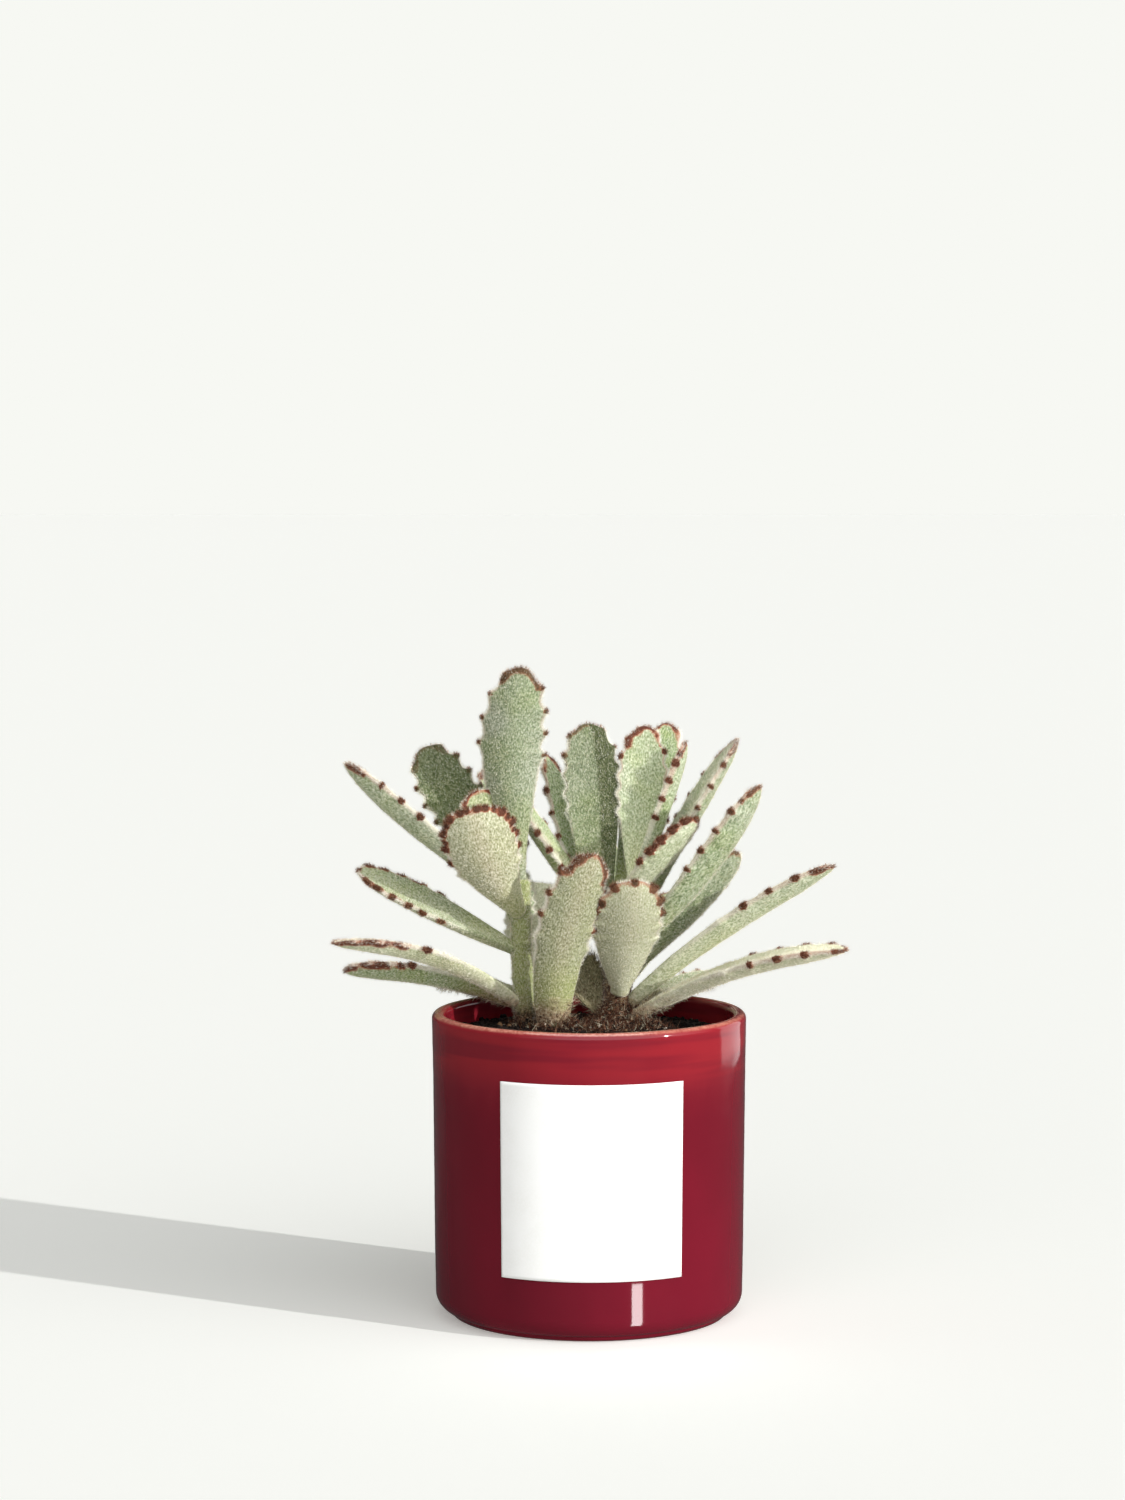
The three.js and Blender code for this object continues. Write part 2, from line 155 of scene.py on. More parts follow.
# to: place of a side's last tooth. climb, drop: slopes of a tooth, and lead, lag: shift of the
# teeth on either side, all as shares of the distance between two teeth.
TEETH = Namespace(to=0.93, climb=0.6, drop=0.25, lead=-0.1, lag=0.25)
EDGE_THINNING = 0.25  # share of the thickness lost towards the margin
RING_POWER = 2 / 2.2  # exponent of the blade's rounded cross-section

# ---- fineness of the meshes ----
POT_SIDES = 288
WALL_STEPS, INSIDE_STEPS, CORNER_STEPS, RIM_STEPS = 48, 20, 12, 9
LABEL_COLUMNS, LABEL_ROWS = 90, 60
SOIL_SIDES, SOIL_RINGS = 240, 70
RING_POINTS = 40
STEM_SIDES = 36
BARE_RINGS = 3  # the first rings of a blade or stem, out of sight, hold no hairs

# ---- unevenness: the size of each wave and how far it stands out ----
POT_WAVES = [(26, 0.12)]
WHEEL_MARKS = [(2.6, 0.03)]
RIM_WAVES = [(30, 0.15)]
LABEL_WAVES = [(18, 0.05)]
SOIL_WAVES = [(6, 0.55), (2.4, 0.35), (1.1, 0.2)]
LEAF_WAVES = [(7, 0.16), (2.2, 0.07)]
STEM_WAVES = [(3, 0.18), (1.1, 0.08)]

# ---- hairs and crumbs ----
HAIRS_PER_MM2 = 7.5
STEM_HAIRS = 55  # for each mm of a shoot's height and each mm of its radius
SOIL_CRUMBS = 2600
HAIRS_PER_CRUMB = 30
# Heaps of shed felt: x, y, spread, height and number of hairs.
HEAPS = [(9, 10, 9, 10, 6500), (-10, 3, 7, 6, 3200), (-21, 11, 5, 4, 900)]
HEAPS += [(20, 6, 7, 4, 1600), (4, 0, 8, 3, 2400)]
HAIR_TONES = dict(white=(246, 243, 232), cream=(222, 212, 184), pink=(190, 142, 114),
                  brown=(100, 62, 44), dark=(46, 34, 28))
WHITE, CREAM, PINK, BROWN, DARK = range(5)  # the places of these tones
CRUMB_TONES = dict(black=(24, 18, 16), brown=(50, 39, 33), tan=(128, 100, 74), white=(214, 206, 190))
# Corners and faces of a crumb before it is made lumpy: an icosahedron.
GOLDEN = (1 + 5**0.5) / 2
CRUMB_CORNERS = np.array(
    [np.roll((x, y * GOLDEN, 0), k) for k in range(3) for y in (1, -1) for x in (-1, 1)]
)
CRUMB_FACES = np.array(
    [(0, 11, 5), (0, 5, 1), (0, 1, 7), (0, 7, 10), (0, 10, 11), (1, 5, 9), (5, 11, 4), (11, 10, 2)]
    + [(10, 7, 6), (7, 1, 8), (3, 9, 4), (3, 4, 2), (3, 2, 6), (3, 6, 8), (3, 8, 9), (4, 9, 5)]
    + [(2, 4, 11), (6, 2, 10), (8, 6, 7), (9, 8, 1)]
)
SOIL_MIX = (0.88, 0.11, 0.008, 0.002)  # shares of the crumb tones on the soil
HEAP_MIX = (0.5, 0.32, 0.13, 0.05)  # and in the heaps

# ---- light all round ----
SKY_WAY = (0.42, -0.9, 0.1)  # where most of it comes from
SKY_FROM = 0.1  # dot product with that way where it starts to grow
SKY_FAINTEST, SKY_STRONGEST = 0.06, 1.68


# ---- numbers ----
def clamp(x):
    return np.clip(x, 0.0, 1.0)


def ease(x, low, high):
    """0 below low, 1 above high, smooth in between; low may be the larger."""
    t = clamp((x - low) / (high - low))
    return t * t * (3 - 2 * t)


def mix(a, b, t):
    return a + (b - a) * t


def unit(v):
    return v / np.maximum(np.linalg.norm(v, axis=-1, keepdims=True), 1e-9)


def hashed(cell, seed):
    """A number from 0 to 1 for each whole-number cell."""
    x, y, z = (cell[..., k].astype(np.int64) for k in range(3))
    n = (x * 73856093) ^ (y * 19349663) ^ (z * 83492791) ^ (seed * 2654435761)
    n = (n ^ (n >> 13)) * 1274126177
    return ((n ^ (n >> 16)) & 0xFFFF) / 65535.0


def wobble(points, size, seed):
    """Smooth noise from -1 to 1, with bumps about this many millimetres across."""
    p = np.asarray(points, float) / size
    low = np.floor(p)
    t = p - low
    t = t * t * (3 - 2 * t)
    total = 0
    for corner in np.ndindex(2, 2, 2):
        weight = np.prod(np.where(np.array(corner), t, 1 - t), axis=-1)
        total = total + weight * hashed(low + np.array(corner), seed)
    return 2 * total - 1


def uneven(points, waves, seed):
    """Sum of a few noises; each wave is its size and its height."""
    return sum(high * wobble(points, size, seed + k) for k, (size, high) in enumerate(waves))


# ---- meshes ----
def put_in_scene(name, data):
    made = bpy.data.objects.new(name, data)
    bpy.context.scene.collection.objects.link(made)
    return made


def piece(name, points, faces, materials, values=None, picks=None, smooth=True):
    """A mesh object riding on the part's one body. values are per-vertex attributes, picks a
    material index for each face."""
    mesh = bpy.data.meshes.new(name)
    mesh.from_pydata((np.asarray(points) * MM).tolist(), [], faces)
    for key, data in (values or {}).items():
        data = np.asarray(data, np.float32)
        kind = "FLOAT" if data.ndim == 1 else "FLOAT_VECTOR"
        field = "value" if data.ndim == 1 else "vector"
        mesh.attributes.new(key, kind, "POINT").data.foreach_set(field, data.ravel())
    for material in materials:
        mesh.materials.append(material)
    if picks is not None:
        mesh.polygons.foreach_set("material_index", np.asarray(picks, np.int32))
    mesh.polygons.foreach_set("use_smooth", np.full(len(mesh.polygons), smooth))
    mesh.update()
    obj = put_in_scene(name, mesh)
    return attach(obj, "root")


def grid_faces(rows, columns):
    """Quads of a closed tube of rows x columns points."""
    index = np.arange(rows * columns).reshape(rows, columns)
    beside = np.roll(index, -1, axis=1)
    quads = np.stack([index[:-1], beside[:-1], beside[1:], index[1:]], axis=-1)
    return quads.reshape(-1, 4).tolist()


def fan(ring, centre):
    """Triangles from a ring of indices to one point."""
    return [(a, b, centre) for a, b in zip(ring, ring[1:] + ring[:1])]


def tube(rings, start, end):
    """Points and faces of a tube, closed by a fan to a point at either end."""
    rows, columns = rings.shape[:2]
    count = rows * columns
    faces = grid_faces(rows, columns)
    faces += [(b, a, centre) for a, b, centre in fan(list(range(columns)), count)]
    faces += fan(list(range(count - columns, count)), count + 1)
    return np.vstack([rings.reshape(-1, 3), start, end]), faces


def round_axis(r, z, sides):
    """Level rings round the vertical axis, one for each radius and height."""
    turn = np.linspace(0, 2 * pi, sides, endpoint=False)
    x, y = np.outer(r, np.cos(turn)), np.outer(r, np.sin(turn))
    return np.stack([x, y, np.outer(z, np.ones(sides))], -1)


def outward(points):
    """Level directions away from the vertical axis."""
    return unit(points * [1, 1, 0])


def ring_normals(rings):
    """Outward normals of a grid of rings, from its neighbours."""
    around = np.roll(rings, -1, axis=1) - np.roll(rings, 1, axis=1)
    along = np.gradient(rings, axis=0)
    return unit(np.cross(around, along))


# ---- materials ----
def colour(r, g, b):
    """A linear colour from screen values of 0 to 255."""
    values = [x / 255 for x in (r, g, b)]
    return [x / 12.92 if x <= 0.04045 else ((x + 0.055) / 1.055) ** 2.4 for x in values] + [1.0]


class Nodes:
    """Short ways to add nodes to a tree."""

    def __init__(self, tree):
        self.tree = tree

    def node(self, kind, inputs=None, **settings):
        made = self.tree.nodes.new("ShaderNode" + kind)
        for key, value in settings.items():
            setattr(made, key, value)
        for key, value in (inputs or {}).items():
            self.put(made.inputs[key], value)
        return made

    def put(self, socket, value):
        if isinstance(value, bpy.types.NodeSocket):
            self.tree.links.new(value, socket)
        else:
            socket.default_value = value

    def range(self, value, low, high, to_low=0.0, to_high=1.0):
        """A smooth step from to_low to to_high."""
        inputs = {"Value": value, "From Min": low, "From Max": high, "To Min": to_low, "To Max": to_high}
        return self.node("MapRange", inputs, interpolation_type="SMOOTHSTEP").outputs["Result"]


class Paint(Nodes):
    """A Principled material."""

    def __init__(self, name, **sockets):
        self.material = bpy.data.materials.new(name)
        self.material.use_nodes = True
        super().__init__(self.material.node_tree)
        self.shader = self.tree.nodes["Principled BSDF"]
        for key, value in sockets.items():
            self.set(key.replace("_", " "), value)

    def set(self, key, value):
        self.put(self.shader.inputs[key], value)

    def value(self, name, kind="Fac"):
        """A value that the mesh holds for each point."""
        return self.node("Attribute", attribute_name=name).outputs[kind]

    def place(self):
        return self.node("TexCoord").outputs["Object"]

    def stretch(self, vector, scale):
        return self.node("Mapping", {"Vector": vector, "Scale": scale}).outputs["Vector"]

    def noise(self, vector, scale, detail=2.0, rough=0.5):
        inputs = {"Vector": vector, "Scale": scale, "Detail": detail, "Roughness": rough}
        return self.node("TexNoise", inputs).outputs["Fac"]

    def times(self, a, b):
        return self.node("Math", {0: a, 1: b}, operation="MULTIPLY").outputs[0]

    def plus(self, a, b):
        return self.node("Math", {0: a, 1: b}, operation="ADD").outputs[0]

    def ramp(self, value, stops):
        """Colours along a value; each stop is its place and a colour in screen values."""
        made = self.node("ValToRGB", {"Fac": value})
        elements = made.color_ramp.elements
        while len(elements) < len(stops):
            elements.new(0.5)
        for element, (position, shade) in zip(elements, stops):
            element.position = position
            element.color = colour(*shade)
        return made.outputs["Color"]

    def mix(self, factor, a, b):
        return self.node("Mix", {0: factor, 6: a, 7: b}, data_type="RGBA").outputs[2]

    def over(self, base, name, shade, share=1.0):
        """base with shade laid over it, as far as the mesh's value of this name says."""
        return self.mix(self.times(self.value(name), share), base, shade)

    def finished(self, base, height, strength, distance):
        """The material in these colours, standing out where height is large."""
        self.set("Base Color", base)
        inputs = {"Height": height, "Strength": strength, "Distance": distance * MM}
        self.set("Normal", self.node("Bump", inputs).outputs["Normal"])
        return self.material


def green_skin(paint, grain, drift):
    """Grainy green of a blade, turned beige, yellowish or silvery where its values say so, whitened
    by painted light on dim blades and lined with a whitish margin that is partly a painted highlight.
    """
    green = paint.ramp(
        grain,
        [(0.3, (78, 104, 54)), (0.47, (122, 148, 92)), (0.6, (164, 182, 134)), (0.72, (226, 229, 210))],
    )
    lush = paint.ramp(grain, [(0.3, (80, 110, 44)), (0.5, (126, 152, 76)), (0.72, (206, 214, 164))])
    beige = paint.ramp(
        grain,
        [(0.3, (126, 118, 86)), (0.48, (174, 167, 134)), (0.62, (202, 195, 170)), (0.74, (236, 229, 212))],
    )
    stalk = paint.ramp(grain, [(0.3, (128, 142, 62)), (0.5, (174, 182, 102)), (0.7, (220, 220, 166))])
    silver = paint.ramp(grain, [(0.36, (142, 152, 128)), (0.6, (220, 222, 208))])
    # Painted light: a whitish lift for blades that the lamps leave too dim.
    painted_light = paint.ramp(grain, [(0.3, (192, 194, 150)), (0.68, (242, 242, 220))])
    base = paint.mix(paint.range(drift, 0.42, 0.66), green, lush)
    base = paint.over(base, "warm", beige)
    base = paint.over(base, "stalk", stalk)
    base = paint.over(base, "grey", silver, 0.8)
    base = paint.over(base, "pale", painted_light)
    # A whitish margin: partly paler felt, partly a painted highlight standing in for its lit fuzz.
    base = paint.over(base, "edge", colour(240, 236, 222), 0.85)
    return paint.over(base, "rim", colour(182, 130, 106), 0.7)


def brown_marks(paint, blade, drift, base):
    """base with a blush at the tip, brown spots at the teeth and a brown band round the tip."""
    speckle = paint.times(paint.plus(paint.noise(blade, 2.6), -0.5), 0.7)
    blush = paint.plus(paint.times(paint.value("blush"), 0.62), speckle)
    base = paint.mix(paint.range(blush, 0.25, 0.6, 0.0, 0.75), base, colour(168, 112, 88))
    mottled = paint.plus(paint.value("knob"), speckle)
    spot = paint.ramp(
        mottled,
        [(0.3, (184, 128, 100)), (0.55, (144, 88, 66)), (0.85, (104, 64, 48)), (1.0, (80, 50, 38))],
    )
    spot = paint.mix(paint.range(drift, 0.45, 0.7, 0.0, 0.45), spot, colour(126, 66, 50))
    base = paint.mix(paint.range(mottled, 0.25, 0.58), base, spot)
    banded = paint.plus(paint.value("band"), paint.times(speckle, 1.4))
    tip = paint.ramp(banded, [(0.3, (196, 142, 114)), (0.6, (150, 88, 66)), (0.95, (94, 56, 44))])
    return paint.mix(paint.range(banded, 0.15, 0.75), base, tip)


def felt_paint():
    """Skin of a blade under its hairs, dusty at its foot, with painted light and painted shade on some
    blades.
    """
    paint = Paint("leaf_felt", Roughness=0.85, Specular_IOR_Level=0.2, Sheen_Weight=1.0)
    paint.set("Sheen Roughness", 0.3)
    paint.set("Sheen Tint", colour(240, 232, 214))
    blade = paint.value("blade", "Vector")
    grain = paint.noise(paint.stretch(blade, (1, 0.55, 1)), 1.9, 2.5, 0.62)
    drift = paint.noise(blade, 0.11)
    base = brown_marks(paint, blade, drift, green_skin(paint, grain, drift))
    dust = paint.ramp(
        paint.noise(blade, 1.3, 3.0, 0.7),
        [(0.35, (92, 64, 50)), (0.5, (180, 148, 120)), (0.66, (226, 208, 178))],
    )
    base = paint.over(base, "foot", dust)
    # Painted shade: darker greens laid over blades, as far as deep says, so that they look shaded.
    shade = paint.ramp(grain, [(0.3, (50, 58, 34)), (0.5, (78, 86, 56)), (0.72, (124, 128, 100))])
    return paint.finished(paint.over(base, "deep", shade), grain, 0.5, 0.25)


def bark_paint():
    """Green felted stem, brown and dusty at its foot."""
    paint = Paint("stem_felt", Roughness=0.9, Sheen_Weight=0.3, Sheen_Roughness=0.5)
    paint.set("Specular IOR Level", 0.15)
    place = paint.place()
    grain = paint.noise(paint.stretch(place, (1, 1, 0.4)), 2100, 3.0, 0.6)
    green = paint.ramp(grain, [(0.3, (112, 124, 68)), (0.5, (152, 160, 106)), (0.7, (206, 208, 172))])
    dust = paint.ramp(
        paint.noise(place, 1100, 4.0, 0.7),
        [(0.35, (44, 30, 24)), (0.52, (104, 76, 56)), (0.68, (160, 138, 104))],
    )
    return paint.finished(paint.over(green, "foot", dust), grain, 0.6, 0.3)


def glaze_paint():
    """Deep red glaze, brighter below the rim, partly from thinner glaze and partly as painted sheen;
    thin enough on its crest to show the body, which there also serves as a painted highlight.
    """
    paint = Paint("red_glaze", IOR=1.5)
    place = paint.place()
    height = paint.node("SeparateXYZ", {"Vector": place}).outputs["Z"]
    runs = paint.noise(paint.stretch(place, (1, 1, 0.25)), 55, 3.0)
    cloud = paint.noise(place, 22, 3.0)
    level = paint.plus(height, paint.times(paint.plus(runs, -0.5), 0.03))
    # Brighter towards the rim: partly thinner glaze, partly a painted sheen band.
    red = paint.ramp(
        paint.range(level, 0.0, 0.1),
        [
            (0.0, (100, 19, 34)), (0.8, (102, 19, 33)), (0.87, (106, 21, 34)),
            (0.93, (114, 26, 37)), (1.0, (120, 29, 39)),
        ],
    )
    red = paint.mix(paint.range(cloud, 0.35, 0.75, 0.0, 0.35), red, colour(124, 20, 40))
    streaks = paint.noise(paint.stretch(place, (1, 1, 14)), 13)
    high_up = paint.range(height, 0.078, 0.092, 0.0, 0.45)
    streaks = paint.times(paint.range(streaks, 0.42, 0.6), high_up)
    red = paint.mix(streaks, red, colour(158, 38, 44))
    crumbs = paint.noise(place, 900, 3.0, 0.7)
    body = paint.ramp(crumbs, [(0.35, (150, 84, 68)), (0.7, (214, 150, 130))])
    # The body showing through thin glaze on the crest, which also serves as a painted highlight line.
    thin = paint.times(paint.value("thin"), paint.range(runs, 0.3, 0.6, 0.35, 0.85))
    waves = paint.plus(paint.noise(place, 60, 1.0), paint.times(crumbs, 0.015))
    paint.set("Roughness", paint.range(runs, 0.3, 0.7, 0.06, 0.13))
    return paint.finished(paint.mix(thin, red, body), waves, 0.35, 1.2)


def paper_paint():
    """Bare white paper with a faint tooth."""
    paint = Paint("white_paper", Roughness=0.55)
    fibres = paint.noise(paint.place(), 1600, 4.0, 0.6)
    cloud = paint.noise(paint.place(), 90)
    tone = paint.mix(paint.range(cloud, 0.3, 0.7), colour(249, 249, 248), colour(244, 244, 242))
    tone = paint.mix(paint.range(fibres, 0.35, 0.7, 0.0, 0.5), tone, colour(252, 252, 252))
    return paint.finished(tone, fibres, 0.15, 0.1)


def earth_paint():
    """Dark moist peat with paler specks."""
    paint = Paint("peat", Roughness=0.95, Specular_IOR_Level=0.25)
    grain = paint.noise(paint.place(), 900, 5.0, 0.7)
    tone = paint.ramp(
        grain,
        [(0.3, (20, 17, 16)), (0.5, (42, 36, 33)), (0.66, (66, 56, 50)), (0.8, (104, 84, 66))],
    )
    return paint.finished(tone, grain, 1.0, 0.8)


def plain_paint(name, shade):
    """One tone of hair or crumb; a piece mixes several of them strand by strand."""
    return Paint(name, Base_Color=colour(*shade), Roughness=0.9, Specular_IOR_Level=0.15).material


# ---- pot, label and soil ----
def pot_radius(z):
    return mix(POT.bottom, POT.top, (z - POT.corner) / (POT.height - POT.corner))


def inner_radius(z):
    return mix(POT.inner_bottom, POT.inner_top, z / POT.height)


def arc(r, z, radius, start, end, steps):
    turn = np.radians(np.linspace(start, end, steps + 1))
    return [(r + radius * cos(a), z + radius * sin(a)) for a in turn]


def pot_section():
    """Radii and heights from under the foot, up the wall, over the rim and down to the floor."""
    rim, corner = POT.rim, POT.corner
    rim_z = POT.height - rim
    corner_z = POT.foot_height + corner
    line = [(20, 0), (POT.foot - POT.bevel, 0), (POT.foot, POT.foot_height)]
    line += arc(pot_radius(corner_z) - corner, corner_z, corner, -75, 0, CORNER_STEPS)
    line += [(pot_radius(z), z) for z in np.linspace(corner_z + 2, rim_z - 1, WALL_STEPS)]
    line += arc(POT.top - rim, rim_z, rim, 0, 90, RIM_STEPS)
    line += arc(POT.inner_top + rim, rim_z, rim, 90, 180, RIM_STEPS)
    line += [(inner_radius(z), z) for z in np.linspace(rim_z - 2, POT.floor, INSIDE_STEPS)]
    line += [(30, POT.floor)]
    return np.array(line).T


def pot(paint):
    """The glazed vessel, a little uneven, its value thin marking the crest of the rim."""
    height = POT.height
    rings = round_axis(*pot_section(), POT_SIDES)
    wave = uneven(rings, POT_WAVES, 3) + uneven(rings * [0.05, 0.05, 1], WHEEL_MARKS, 4)
    rings = rings + outward(rings) * wave[..., None]
    rings[..., 2] += uneven(rings, RIM_WAVES, 5) * ease(rings[..., 2], 90, height)
    points, faces = tube(rings, [0, 0, 0], [0, 0, POT.floor])
    out = np.hypot(points[:, 0], points[:, 1]) - POT.inner_top
    crest = ease(points[:, 2], height - 1.1, height - 0.3) * ease(out, 1.6, 3.2)
    obj = piece("pot_glazed", points, faces, [paint], {"thin": crest})
    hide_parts("pot")


def label(paint):
    """A blank sheet of paper that follows the wall."""
    half = radians(LABEL.half_angle)
    turn = radians(LABEL.turn - 90) + np.linspace(half, -half, LABEL_COLUMNS + 1)
    rise = np.linspace(LABEL.bottom, LABEL.top, LABEL_ROWS + 1)
    z = np.concatenate([rise[::-1], rise])
    r = pot_radius(z) + np.repeat([LABEL.back, LABEL.front], LABEL_ROWS + 1)
    rings = np.array([np.stack([r * cos(a), r * sin(a), z], -1) for a in turn])
    rings += outward(rings) * uneven(rings, LABEL_WAVES, 8)[..., None]
    points, faces, values = closed(rings, {})
    obj = piece("label_paper", points, faces, [paint], values)
    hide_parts("label")


def blob(rng, centre, size):
    """Corners of a small lumpy crumb."""
    scale = size / 1.9 * rng.uniform(0.6, 1.3, 3) * rng.uniform(0.75, 1.2, (12, 1))
    turn = rng.uniform(0, 2 * pi)
    spin = np.array([[cos(turn), -sin(turn), 0], [sin(turn), cos(turn), 0], [0, 0, 1]])
    return (CRUMB_CORNERS * scale) @ spin.T + centre


def crumbs(name, rng, centres, sizes, materials, picks):
    """One piece of many crumbs."""
    points = [blob(rng, centre, size) for centre, size in zip(centres, sizes)]
    starts = 12 * np.arange(len(points))
    faces = (starts[:, None, None] + CRUMB_FACES).reshape(-1, 3).tolist()
    picks = np.repeat(picks, len(CRUMB_FACES))
    return piece(name, np.vstack(points), faces, materials, picks=picks)


def soil_height(x, y):
    """Height of the lumpy surface, smooth where it meets the wall."""
    r = np.hypot(x, y) / inner_radius(SOIL_TOP)
    lumps = uneven(np.stack([x, y, 0 * x], -1), SOIL_WAVES, 21)
    return SOIL_TOP - SOIL_DROP * r * r + lumps * ease(r, 1.0, 0.94)


def soil(paint):
    """The filling down to the pot's floor."""
    low = POT.floor + CLEAR
    edge = inner_radius(SOIL_TOP) - SOIL_GAP
    side = round_axis([inner_radius(low) - CLEAR, edge], [low, SOIL_TOP - 3], SOIL_SIDES)
    top = round_axis(edge * np.linspace(1, 0.01, SOIL_RINGS), np.zeros(SOIL_RINGS), SOIL_SIDES)
    top[..., 2] = soil_height(top[..., 0], top[..., 1])
    points, faces = tube(np.vstack([side, top]), [0, 0, low], [0, 0, SOIL_TOP])
    obj = piece("soil_filling", points, faces, [paint])
    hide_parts("soil")


def loose_crumbs(tones):
    """Crumbs all over the soil, few of them large."""
    rng = np.random.default_rng(11)
    edge = inner_radius(SOIL_TOP) - SOIL_GAP - 1
    r = edge * np.sqrt(rng.uniform(0, 1, SOIL_CRUMBS))
    a = rng.uniform(0, 2 * pi, SOIL_CRUMBS)
    x, y = r * np.cos(a), r * np.sin(a)
    sizes = 0.3 + 0.8 * rng.uniform(0, 1, SOIL_CRUMBS) ** 4
    z = soil_height(x, y) + sizes * 0.25
    picks = rng.choice(len(tones), SOIL_CRUMBS, p=SOIL_MIX)
    obj = crumbs("soil_crumbs", rng, np.stack([x, y, z], -1), sizes, tones, picks)


# ---- shoots and leaves ----
def axis_at(shoot, h):
    """Points of the shoot's axis, h above the soil."""
    tops, xs, ys = np.array(shoot.axis, float).T
    return np.stack([np.interp(h, tops, xs), np.interp(h, tops, ys), h + SOIL_TOP], -1)


def radius_at(shoot, h):
    low, high = shoot.radii
    nearest = np.min([np.abs(h - joint) for joint in shoot.joints], axis=0)
    return mix(low, high, clamp(h / shoot.axis[-1][0])) + SWELL * (1 - clamp(nearest / SWELL_REACH))


def directions(leaf, s):
    """Along the midrib, across the blade and out of its hollow side, for each station."""
    az, roll = radians(leaf.az), radians(leaf.roll)
    rise = np.radians(leaf.rise + leaf.bend * s)[:, None]
    lean = np.radians(leaf.lean + leaf.sway * s)[:, None]
    flat = np.array([cos(az), sin(az), 0])
    forward = np.cos(rise) * flat + np.sin(rise) * UP
    hollow = -np.sin(rise) * flat + np.cos(rise) * UP
    level = np.cross(hollow, forward)
    side = level * np.cos(lean) - forward * np.sin(lean)
    along = forward * np.cos(lean) + level * np.sin(lean)
    across = side * cos(roll) + hollow * sin(roll)
    up = hollow * cos(roll) - side * sin(roll)
    return along, across, up


def midrib(leaf, s):
    """Points along the blade's middle; below s = 0 it runs straight on into the shoot."""
    steps = 60
    az = radians(leaf.az)
    shoot = leaf.shoot
    off = leaf.off if leaf.off is not None else radius_at(shoot, leaf.h) + ROOT_OFF
    root = axis_at(shoot, leaf.h) + off * np.array([cos(az), sin(az), 0])
    root = root + leaf.side * np.array([-sin(az), cos(az), 0])
    along = directions(leaf, (np.arange(steps) + 0.5) / steps)[0]
    path = np.vstack([root, root + np.cumsum(along, axis=0) * leaf.len / steps])
    at = np.linspace(0, 1, steps + 1)
    inside = np.stack([np.interp(s, at, path[:, k]) for k in range(3)], -1)
    return inside + np.minimum(s, 0)[:, None] * leaf.len * along[0]


def outline(leaf, s):
    """Width of the blade at s, as a share of its full width."""
    base, full = leaf.base, leaf.full
    s = clamp(s)
    swell = base + (1 - base) * np.sin(pi / 2 * np.minimum(1, s / full)) ** leaf.neck
    return swell * np.sqrt(1 - clamp((s - full) / (1 - full)) ** leaf.tip)


def pitch(leaf):
    """Distance from one tooth to the next, as a share of the blade's length."""
    return (TEETH.to - leaf.first) / (leaf.teeth - 1)


def tooth_places(leaf, shift):
    return leaf.first + (np.arange(leaf.teeth) + shift) * pitch(leaf)


def tooth(leaf, s, shift):
    """How far a tooth stands out at s, its crest rounded over a short run of stations."""
    total = 0
    offsets = np.linspace(-0.07, 0.07, 5) * pitch(leaf)
    for d in offsets:
        t = (s[:, None] + d - tooth_places(leaf, shift)) / pitch(leaf)
        climb = clamp(1 + t / TEETH.climb) ** 1.4
        drop = clamp(1 - t / TEETH.drop)
        total = total + np.where(t <= 0, climb, drop).max(axis=1)
    return total / len(offsets)


def stations(leaf):
    """Where the blade has its rings: three at its root, the others closer towards the tip."""
    root = [-1.8 / leaf.len, -0.9 / leaf.len, 0]
    plain = np.linspace(0.02, 0.42, 15)
    toothed = np.linspace(0.43, 0.95, 66)
    tip = 1 - 0.05 * (1 - np.linspace(0.1, 0.93, 11)) ** 2
    return np.concatenate([root, plain, toothed, tip])


def margin_run(leaf, start):
    """Points of the blade's outline in its own plane, from start round the tip to the other side."""
    s = 1 - (1 - start) * (1 - np.linspace(0, 1, 60)) ** 2
    half = leaf.wid / 2 * outline(leaf, s)
    right = np.stack([half, s * leaf.len], -1)
    return np.vstack([right, right[::-1] * [-1, 1]])


def spot_size(leaf, rng, long, wide):
    """Half length and half width of one brown spot, each drawn between two shares."""
    size, dash = leaf.brown, leaf.dash
    return size * dash * rng.uniform(*long), size * rng.uniform(*wide) / dash**0.5


def spot_places(leaf, rng):
    """Centre, direction and half sizes of each brown spot, in the blade's own plane."""
    rows = []
    for shift, sign in ((TEETH.lead, 1), (TEETH.lag, -1)):
        for place in tooth_places(leaf, shift):
            if not leaf.marks < place < leaf.arc:
                continue
            around = np.array([place - 0.01, place + 0.01])
            half = leaf.wid / 2 * outline(leaf, around) + 0.6 * leaf.reach
            slope = sign * unit(np.array([sign * (half[1] - half[0]), 0.02 * leaf.len]))
            centre = [sign * (half.mean() - 0.3), place * leaf.len - 0.1]
            rows.append((*centre, *slope, *spot_size(leaf, rng, (0.7, 1.4), (0.6, 0.85))))
    if leaf.gap:
        rows += close_spots(leaf, rng)
    return rows


def close_spots(leaf, rng):
    """The spots that crowd round the tip."""
    run = margin_run(leaf, leaf.arc)
    far = np.concatenate([[0], np.cumsum(np.linalg.norm(np.diff(run, axis=0), axis=1))])
    count = max(2, round(far[-1] / leaf.gap))
    rows = []
    for k in range(count + 1):
        at = clamp((k + rng.uniform(-0.2, 0.2)) / count) * far[-1]
        centre, ahead, behind = (
            np.array([np.interp(at + step, far, run[:, j]) for j in range(2)]) for step in (0, 0.3, -0.3)
        )
        centre = centre + unit(np.array([0, leaf.len * 0.9]) - centre) * 0.5
        rows.append((*centre, *unit(ahead - behind), *spot_size(leaf, rng, (0.8, 1.5), (0.65, 1.0))))
    return rows


